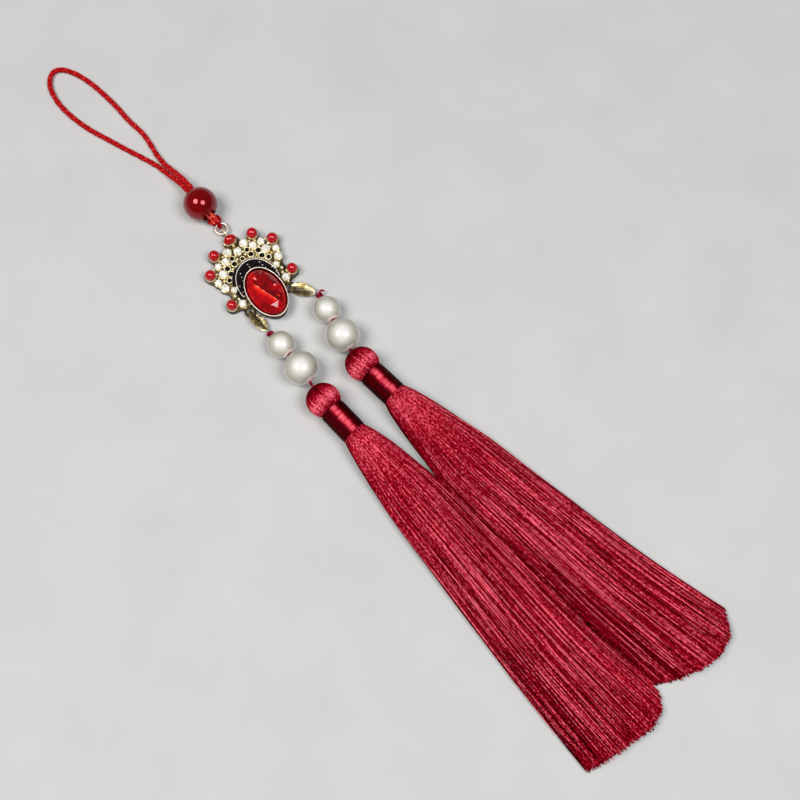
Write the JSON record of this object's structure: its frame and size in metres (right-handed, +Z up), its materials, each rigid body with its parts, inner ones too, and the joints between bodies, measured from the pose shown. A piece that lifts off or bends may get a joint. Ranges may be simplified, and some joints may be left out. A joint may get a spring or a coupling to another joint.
{
  "type": "tassel pendant",
  "caption": "Hanging ornament with a cord loop, a round bead, a jewelled openwork medallion, and pearls on clasps above fringed silk tassels, lying flat.",
  "frame": {"origin": "on the surface it lies on, below the middle of the pendant's outline without its hanging loop", "axes": "+Z up from the surface, +Y from the tassels' cut ends towards the hanging loop, +X to the right seen from above with the loop at the top"},
  "size_m": [0.0586, 0.2617, 0.0099],
  "materials": {
    "red_cord": "braided scarlet cord, matt",
    "red_glass": "deep red, polished",
    "gold_metal": "pale gold plating, bright",
    "clear_stone": "cream-white cut stones, glossy",
    "black_enamel": "near-black, with fine bright grains",
    "pearl_coat": "ivory pearl, satin gloss",
    "dark_thread": "dark red twisted thread",
    "tassel_silk": "crimson silk thread with a soft sheen",
    "satin_wrap": "crimson satin, wound tight"
  },
  "bodies": {
    "root": {"hanging_loop": "red_cord", "red_bead": "red_glass", "knotted_cord": "red_cord", "top_ring": "gold_metal", "medallion_plate": "gold_metal", "stone_bezel": "gold_metal", "oval_stone": "red_glass", "dark_crescent": "black_enamel", "stud_top": "red_glass", "stud_upper_left": "red_glass", "stud_upper_right": "red_glass", "stud_side_left": "red_glass", "stud_side_right": "red_glass", "stud_lower_left": "red_glass", "stud_lower_right": "red_glass", "stone_crown": "clear_stone", "stone_a_left": "clear_stone", "stone_a_right": "clear_stone", "stone_b_left": "clear_stone", "stone_b_right": "clear_stone", "stone_c_left": "clear_stone", "stone_c_right": "clear_stone", "stone_d_left": "clear_stone", "stone_d_right": "clear_stone", "stone_e_left": "clear_stone", "stone_e_right": "clear_stone", "stone_f_left": "clear_stone", "stone_f_right": "clear_stone", "stone_g_left": "clear_stone", "stone_g_right": "clear_stone", "stone_h_left": "clear_stone", "stone_h_right": "clear_stone", "clasp_left": "gold_metal", "clasp_right": "gold_metal", "pearl_small_left": "pearl_coat", "pearl_small_right": "pearl_coat", "pearl_big_left": "pearl_coat", "pearl_big_right": "pearl_coat", "pearl_thread_left": "dark_thread", "pearl_thread_right": "dark_thread", "tassel_ball_left": "tassel_silk", "tassel_ball_right": "tassel_silk", "neck_wrap_left": "satin_wrap", "neck_wrap_right": "satin_wrap", "tassel_skirt_left": "tassel_silk", "tassel_skirt_right": "tassel_silk"}
  },
  "joints": []
}
